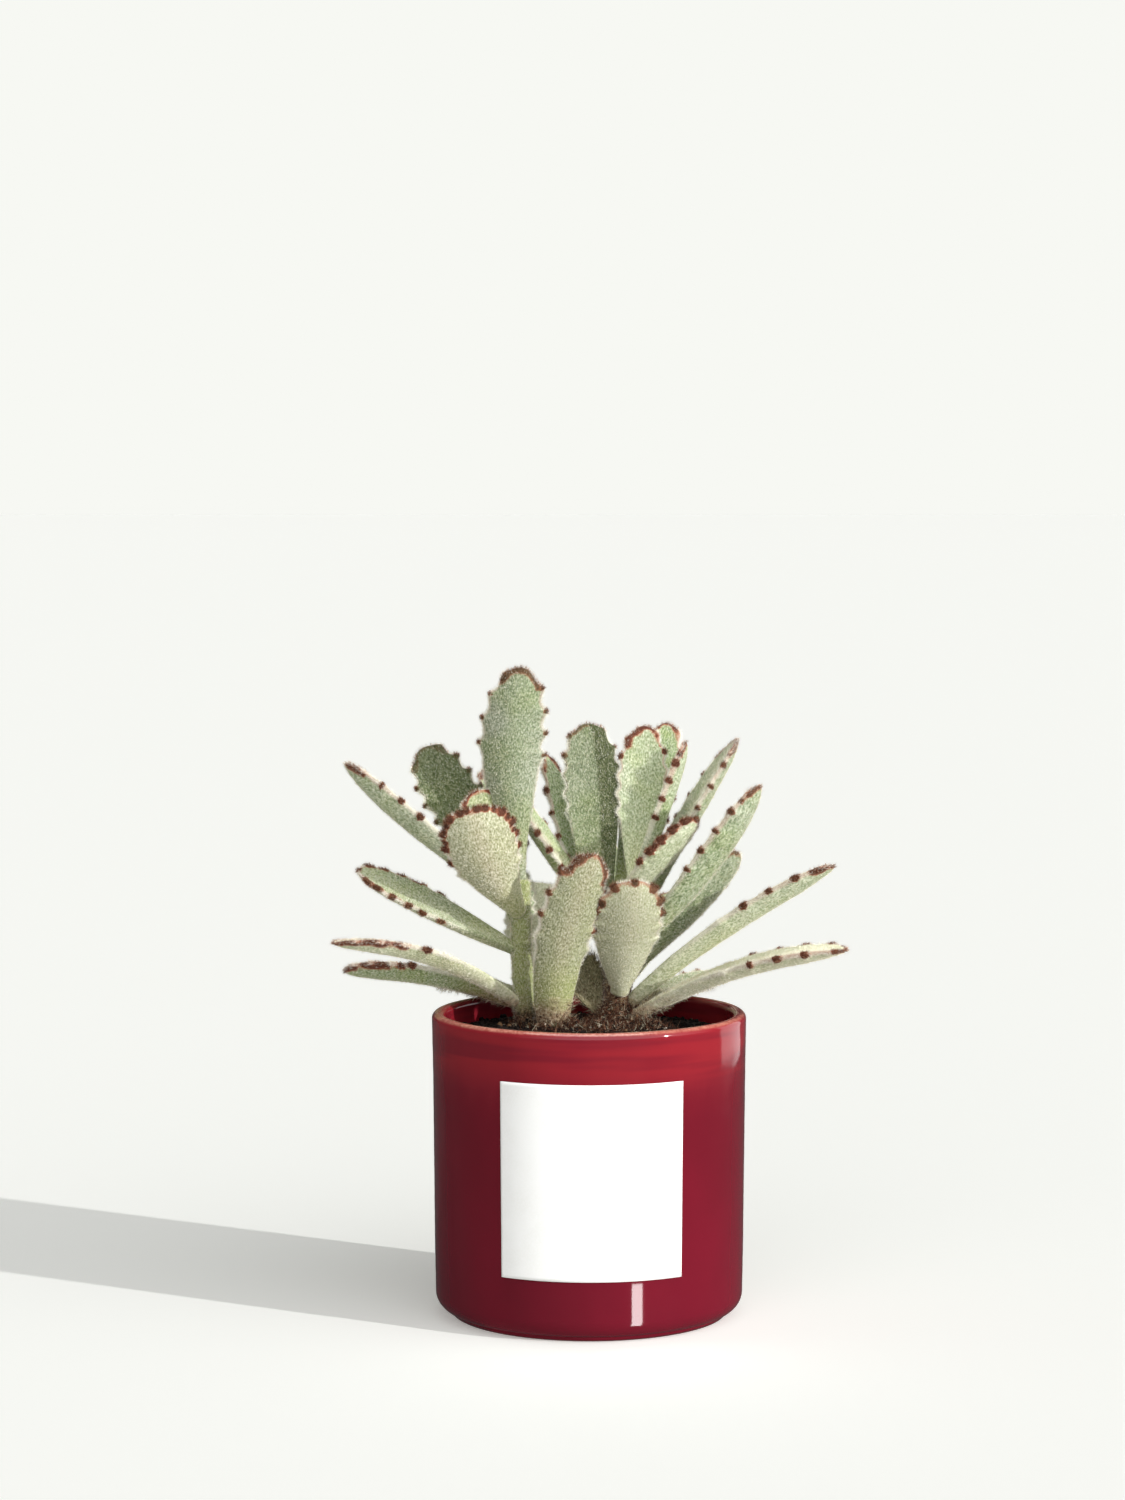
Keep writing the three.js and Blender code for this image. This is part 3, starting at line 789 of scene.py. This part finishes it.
def spots(leaf, rng, s, x):
    """Brown at each tooth, from 0 to 1 for each point of the blade."""
    mask = np.zeros_like(x)
    if not leaf.brown:
        return mask
    far = s[:, None] * leaf.len
    for cx, cy, dx, dy, long, wide in spot_places(leaf, rng):
        px, py = x - cx, far - cy
        run = (px * dx + py * dy) / (1.1 * long)
        over = np.minimum(px * dy - py * dx, 0) / (1.1 * wide)
        mask = np.maximum(mask, ease(np.hypot(run, over), 1.2, 0.45))
    return mask


def tip_band(leaf, s, x, seed):
    """Brown along the margin round the tip, of uneven width."""
    run = margin_run(leaf, leaf.arc)
    places = np.stack([x, s[:, None] * leaf.len + 0 * x], -1)
    gaps = np.linalg.norm(places[..., None, :] - run, axis=-1)
    nearest = run[gaps.argmin(axis=-1)]
    ragged = wobble(np.concatenate([nearest, np.full_like(x, seed)[..., None]], -1), 2.6, seed)
    width = leaf.band * clamp(0.62 + 0.75 * ragged)
    share = 0 if leaf.gap or not leaf.brown else 1
    return share * ease(width, 0.1, 0.7) * ease(gaps.min(axis=-1), 1.3 * width + 0.3, 0.3 * width)


def blade_section(leaf, s, half, u, v):
    """Places across and above the midrib for each point of a ring of half width half."""
    body = np.sqrt(1 - clamp((s - TAPER_FROM) / (1 - TAPER_FROM)) ** TAPER_POWER)
    depth = np.minimum(leaf.thick * body[:, None], 2 * half) / 2
    teeth = np.where(u > 0, tooth(leaf, s, TEETH.lead)[:, None], tooth(leaf, s, TEETH.lag)[:, None])
    teeth = teeth * leaf.reach * clamp(half / 3) * clamp((np.abs(u) - 0.62) / 0.38)
    cupped = leaf.cup * half * (u * u - 0.4) * (1.1 - 0.4 * s)[:, None]
    return u * half + np.sign(u) * teeth, cupped + v * depth * (1 - EDGE_THINNING * u * u)


def skin_values(leaf, seed, rings, t, x, u, edge):
    """Shares of the skin's colours; t runs along the blade, edge is the distance from its margin."""
    brown = min(1, leaf.brown)
    low_root = ease(rings[..., 2] + 2 * wobble(rings, 3, seed + 7), SOIL_TOP + 13, SOIL_TOP + 4)
    dusty = low_root * ease(wobble(rings, 1.6, seed + 2), -0.9, 0.1)
    silver = ease(wobble(rings, 11, seed + 5) + np.abs(u) * 0.8, 0.1, 1.0)
    # The side of the blade that gets more painted shade.
    flank = ease(np.sign(leaf.flank) * u + 0.1 * wobble(rings, 5, seed + 6), 0.2, 0.4)
    return {
        "blush": ease(edge, 2.6, 0.4) * ease(t, leaf.arc - 0.04, leaf.arc + 0.04) * brown,
        # edge: whitish along the margin, partly paler felt and partly a painted highlight for its lit fuzz.
        "edge": ease(edge, 0.6, 0.05) * ease(t, 0.2, 0.5),
        "rim": ease(edge, 0.7, 0.2) * ease(t, leaf.first - 0.05, 0.9) * brown,
        "stalk": 0.7 * ease(t, leaf.stalk + 0.08, leaf.stalk * 0.35) + 0 * x,
        "warm": leaf.warm * mix(1, 0.75, ease(np.abs(x), 0, 5)),
        # pale is painted light, twice as strong towards the root, where the blade lies in shade.
        "pale": leaf.pale * mix(1, 2, ease(t, 0.6, 0.1)) + 0 * x,
        "grey": leaf.grey * mix(0.5, 1, silver),
        # deep is painted shade, heavier on the side that the sign of flank picks.
        "deep": leaf.deep + abs(leaf.flank) * flank,
        "foot": mix(dusty, 1, leaf.dry),
    }


def blade(leaf, seed):
    """Rings of the blade, their normals, the way along it and the values for its paint and hairs."""
    rng = np.random.default_rng(seed)
    s = stations(leaf)
    phi = np.linspace(0, 2 * pi, RING_POINTS, endpoint=False)
    u, v = (np.sign(w) * np.abs(w) ** RING_POWER for w in (np.cos(phi), np.sin(phi)))
    t = s[:, None]
    half = leaf.wid / 2 * outline(leaf, t)
    x, z = blade_section(leaf, s, half, u, v)
    along, across, up = directions(leaf, s)
    rings = midrib(leaf, s)[:, None] + x[..., None] * across[:, None] + z[..., None] * up[:, None]

    knob = spots(leaf, rng, s, x)
    lumps = uneven(rings, LEAF_WAVES, seed) * ease(t, 0.0, 0.1) + 0.3 * knob * clamp(half / 2)
    rings = rings + ring_normals(rings) * lumps[..., None]
    edge = np.minimum(half * (1 - np.abs(u)), (1 - t) * leaf.len)
    values = skin_values(leaf, seed, rings, t, x, u, edge)
    values["knob"] = knob
    values["band"] = tip_band(leaf, s, x, seed)
    # Millimetres across and along, with the two faces and the leaves set apart from each other.
    values["blade"] = np.stack([x + 60 * (v < 0), t * leaf.len + 0 * x, np.full_like(x, 7.3 * seed)], -1)
    return rings, ring_normals(rings), along, values


def closed(rings, values):
    """Tube of the rings with both ends closed, and the values for all of its points."""
    points, faces = tube(rings, rings[0].mean(0), rings[-1].mean(0))
    full = {}
    for key, data in values.items():
        flat = data.reshape(-1, *data.shape[2:])
        full[key] = np.concatenate([flat, [data[0].mean(axis=0)], [data[-1].mean(axis=0)]])
    return points, faces, full


def scatter(rng, rings, count, weight):
    """Random places on a grid of rings, more where weight is high: their rows, and a way to read
    any grid of data at them."""
    here = rings[:-1]
    right = np.roll(here, -1, axis=1)
    above = rings[1:]
    area = np.linalg.norm(np.cross(right - here, above - here), axis=-1) * weight[:-1]
    total = np.cumsum(area.ravel())
    cell = np.searchsorted(total, rng.uniform(0, total[-1], count))
    row, column = np.divmod(cell, rings.shape[1])
    beside = (column + 1) % rings.shape[1]
    a, b = rng.uniform(0, 1, (2, count, 1))
    corners = [(row, column), (row, beside), (row + 1, column), (row + 1, beside)]
    shares = [(1 - a) * (1 - b), a * (1 - b), (1 - a) * b, a * b]

    def read(data):
        data = data if data.ndim == 3 else data[..., None]
        return sum(data[i, j] * share for (i, j), share in zip(corners, shares))

    return row, read


def hairs(name, rng, roots, ways, lengths, widths, tones, picks):
    """A piece of thin triangles, one for each hair, turned at random about its own direction."""
    count = len(roots)
    turned = unit(np.cross(ways, rng.normal(size=(count, 3))))
    half = turned * widths[:, None] / 2
    points = np.stack([roots - half, roots + half, roots + ways * lengths[:, None]], 1)
    faces = np.arange(3 * count).reshape(-1, 3).tolist()
    return piece(name, points.reshape(-1, 3), faces, tones, picks=picks, smooth=False)


def felt_tones(rng, knob, foot, margin):
    """Tone of each hair: white on the margin, brown on spots, mixed at a dusty foot, else pale."""
    count = len(knob)
    pick = rng.choice([WHITE, CREAM], count, p=[0.65, 0.35])
    chance = rng.uniform(0, 1, count)
    pick = np.where(margin > 0.5, WHITE, pick)
    pick = np.where((knob > 0.3) & (chance < 0.85 * knob), BROWN, pick)
    pick = np.where((knob > 0.1) & (chance > 0.75), PINK, pick)
    dusty = np.choose((chance * 4).astype(int), [BROWN, CREAM, DARK, CREAM])
    return np.where(foot > 0.35, dusty, pick)


def felt(name, leaf, seed, made, tones):
    """Short hairs all over a blade but its root, longer on the margin and at a dusty foot."""
    rings, normals, along = (grid[BARE_RINGS:] for grid in made[:3])
    values = {key: data[BARE_RINGS:] for key, data in made[3].items()}
    rng = np.random.default_rng(900 + seed)
    count = int(leaf.len * leaf.wid * 1.5 * HAIRS_PER_MM2)
    row, read = scatter(rng, rings, count, 1 + 6 * values["edge"])
    normal = unit(read(normals))
    brown = np.maximum(values["knob"], 0.55 * values["band"])
    knob, foot, margin = (read(grid)[:, 0] for grid in (brown, values["foot"], values["edge"]))
    lean = rng.uniform(0.25, 1.1, (count, 1))
    way = unit(normal + along[row] * lean + rng.normal(0, 0.35, (count, 3)))
    lengths = rng.uniform(0.45, 1.0, count) * (1 + 0.8 * margin) * (1 + 1.8 * (foot > 0.4))
    widths = rng.uniform(0.08, 0.14, count)
    pick = felt_tones(rng, knob, foot, margin)
    roots = read(rings) - normal * 0.05
    hairs(name, rng, roots, way, lengths, widths, tones, pick)


def leaf_pieces(node, leaf, seed, skin, tones):
    """The blade that stands in for this node of the CAD part, and its felt."""
    made = blade(leaf, seed)
    points, faces, values = closed(made[0], made[3])
    obj = piece(node + "_blade", points, faces, [skin], values)
    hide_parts(node)
    felt(node + "_felt", leaf, seed, made, tones)


def stem(name, shoot, paint, tones, seed):
    """A tapering shoot with a rounded top, swollen at its joints and dusty at its foot."""
    top = shoot.axis[-1][0]
    crown = top - 0.9 * np.array([0.7, 0.4, 0.18, 0.02])
    h = np.concatenate([[-BURIED], np.arange(-2, top - 0.8, 0.6), crown])
    rounding = np.sqrt(clamp((top - h) / 1.2)) * 0.8 + 0.2
    r = radius_at(shoot, np.maximum(h, 0)) * np.minimum(1, rounding)
    rings = axis_at(shoot, h)[:, None] + round_axis(r, 0 * h, STEM_SIDES)
    normals = ring_normals(rings)
    rings = rings + normals * uneven(rings, STEM_WAVES, seed)[..., None]
    dusty = SOIL_TOP + shoot.dusty
    foot = ease(rings[..., 2] + 4 * wobble(rings, 3.5, seed + 3), dusty + 4, dusty - 6)
    points, faces, values = closed(rings, {"foot": foot})
    obj = piece(name + "_skin", points, faces, [paint], values)
    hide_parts(name)
    count = int(top * shoot.radii[0] * STEM_HAIRS)
    shown = (grid[BARE_RINGS:] for grid in (rings, normals, foot))
    fuzz(name + "_fuzz", np.random.default_rng(seed), count, *shown, tones)


def fuzz(name, rng, count, rings, normals, foot, tones):
    """Hairs all over a stem, browner where it is dusty."""
    read = scatter(rng, rings, count, np.ones_like(foot))[1]
    way = unit(unit(read(normals)) + rng.normal(0, 0.5, (count, 3)) + UP * 0.3)
    dust = read(foot)[:, 0]
    chance = rng.uniform(0, 1, count)
    brown = rng.choice([CREAM, BROWN, DARK], count, p=[0.3, 0.4, 0.3])
    pick = np.where(dust > chance, brown, rng.choice([WHITE, CREAM], count))
    lengths = rng.uniform(0.5, 1.2, count)
    widths = rng.uniform(0.07, 0.12, count)
    hairs(name, rng, read(rings), way, lengths, widths, tones, pick)


def dry_fluff(tones, grains):
    """Shed hairs and crumbs heaped round the feet of the shoots."""
    rng = np.random.default_rng(77)
    roots, bits = [], []
    for x, y, spread, high, count in HEAPS:
        p = rng.normal(0, 1, (count, 2)) * spread * [0.6, 0.5] + [x, y]
        near = np.exp(-(((p - [x, y]) / spread) ** 2).sum(1))
        z = soil_height(p[:, 0], p[:, 1]) + high * near * rng.uniform(0, 1, count) ** 1.6
        roots.append(np.column_stack([p, z]))
        bits.append(np.column_stack([p, z - 0.3])[: count // HAIRS_PER_CRUMB])
    roots, bits = np.vstack(roots), np.vstack(bits)
    count = len(roots)
    way = unit(rng.normal(0, 1, (count, 3)) + UP * 0.5)
    lengths = rng.uniform(0.8, 4.0, count)
    pick = rng.choice([CREAM, PINK, BROWN, DARK], count, p=[0.07, 0.05, 0.42, 0.46])
    widths = rng.uniform(0.08, 0.16, count)
    hairs("foot_fluff", rng, roots, way, lengths, widths, tones, pick)
    sizes = rng.uniform(0.25, 0.7, len(bits))
    pick = rng.choice(len(grains), len(bits), p=HEAP_MIX)
    crumbs("foot_crumbs", rng, bits, sizes, grains, pick)


def plant(tones):
    """Every leaf and shoot; the seeds of their unevenness run on from one to the next."""
    skin, bark = felt_paint(), bark_paint()
    seed = 0
    for place, rows in LEAVES.items():
        for k, row in enumerate(rows):
            seed += 1
            leaf = Namespace(**{**SHAPE, **LOOKS, **row}, shoot=SHOOTS[place])
            leaf_pieces(f"{place}_leaf_{k + 1}", leaf, seed, skin, tones)
        stem(f"{place}_stem", SHOOTS[place], bark, tones, 300 + seed)


# ---- stage ----
def direction(turn, rise):
    """Turned this many degrees from +X towards +Y, and raised this many."""
    turn, rise = radians(turn), radians(rise)
    return Vector((cos(turn) * cos(rise), sin(turn) * cos(rise), sin(rise)))


def camera():
    """At the front, a little above the rim, looking slightly down."""
    data = bpy.data.cameras.new("camera")
    data.lens = 86.4
    data.sensor_width = 36
    made = put_in_scene("camera", data)
    made.location = (0, -1.1939, 0.2717)
    made.rotation_euler = direction(90.427, -3.99).to_track_quat("-Z", "Y").to_euler()
    bpy.context.scene.camera = made


def sun(name, energy, angle):
    """A sun this many degrees across, shining straight down."""
    data = bpy.data.lights.new(name, "SUN")
    data.energy = energy
    data.angle = radians(angle)
    return put_in_scene(name, data)


def key_light():
    """Low from the right, a little to the front, with a fairly crisp shadow."""
    key = sun("key", 3.05, 0.9)
    key.data.color = (1.0, 0.995, 0.975)
    key.rotation_euler = direction(-30, 15.5).to_track_quat("Z", "Y").to_euler()


def top_light():
    """Soft light from above on everything but the floor."""
    top = sun("top", 2.3, 48)
    spared = bpy.data.collections.new("spared_by_top_light")
    spared.objects.link(bpy.data.objects["floor"])
    spared.collection_objects[0].light_linking.link_state = "EXCLUDE"
    top.light_linking.receiver_collection = spared


def reflected(name, turn, far, z, wide, high, bright):
    """An upright lit sheet for the glaze to mirror, turned this far round from the front."""
    data = bpy.data.lights.new(name, "AREA")
    data.shape = "RECTANGLE"
    data.size, data.size_y = wide, high
    data.energy = bright * wide * high * pi
    sheet = put_in_scene(name, data)
    turn = radians(turn)
    sheet.location = (far * sin(turn), -far * cos(turn), z)
    sheet.rotation_euler = (pi / 2, 0, turn)
    sheet.visible_camera = False
    sheet.visible_diffuse = False


def surroundings():
    """Faint even light, much stronger from the front right, behind a plain pale backdrop."""
    world = bpy.data.worlds.new("studio")
    bpy.context.scene.world = world
    world.use_nodes = True
    world.node_tree.nodes.clear()
    sky = Nodes(world.node_tree)
    place = sky.node("TexCoord").outputs["Generated"]
    toward = sky.node("VectorMath", {0: place, 1: SKY_WAY}, operation="DOT_PRODUCT")
    strength = sky.range(toward.outputs["Value"], SKY_FROM, 1.0, SKY_FAINTEST, SKY_STRONGEST)
    soft = sky.node("Background", {"Color": (1, 1, 1, 1), "Strength": strength})
    seen = sky.node("Background", {"Color": colour(247, 248, 243)})
    by_ray = sky.node("LightPath").outputs["Is Camera Ray"]
    both = sky.node("MixShader", {0: by_ray, 1: soft.outputs[0], 2: seen.outputs[0]})
    sky.node("OutputWorld", {"Surface": both.outputs[0]})


def floor_tone(paint, seen, mirrored, thrown):
    """One colour for the camera, one for the glaze's mirror image and one for the light thrown back."""
    path = paint.node("LightPath").outputs
    unseen = paint.mix(path["Is Glossy Ray"], colour(*thrown), colour(*mirrored))
    return paint.mix(path["Is Camera Ray"], unseen, colour(*seen))


def floor():
    """A wide pale floor just below the foot, with a glow of its own that lightens its shadows."""
    mesh = bpy.data.meshes.new("floor")
    reach, level = 60, -0.0003
    corners = [(x * reach, y * reach, level) for x, y in ((-1, -1), (1, -1), (1, 1), (-1, 1))]
    mesh.from_pydata(corners, [], [(0, 1, 2, 3)])
    paint = Paint("pale_floor", Roughness=1.0, Specular_IOR_Level=0.0, Emission_Strength=1.0)
    paint.set("Base Color", floor_tone(paint, (252, 253, 250), (70, 70, 70), (190, 191, 187)))
    paint.set("Emission Color", floor_tone(paint, (144, 145, 141), (64, 64, 64), (166, 167, 163)))
    mesh.materials.append(paint.material)
    made = put_in_scene("floor", mesh)


bpy.context.scene.view_settings.view_transform = "Standard"
camera()
floor()
key_light()
top_light()
reflected("window", 124, 0.55, 0.15, 0.32, 0.3, 1.4)
reflected("strip", 19.7, 0.0576, 0.009, 0.0045, 0.018, 15)
surroundings()
hair_tones = [plain_paint("hair_" + name, shade) for name, shade in HAIR_TONES.items()]
crumb_tones = [plain_paint("crumb_" + name, shade) for name, shade in CRUMB_TONES.items()]
pot(glaze_paint())
label(paper_paint())
plant(hair_tones)
dry_fluff(hair_tones, crumb_tones)
soil(earth_paint())
loose_crumbs(crumb_tones)
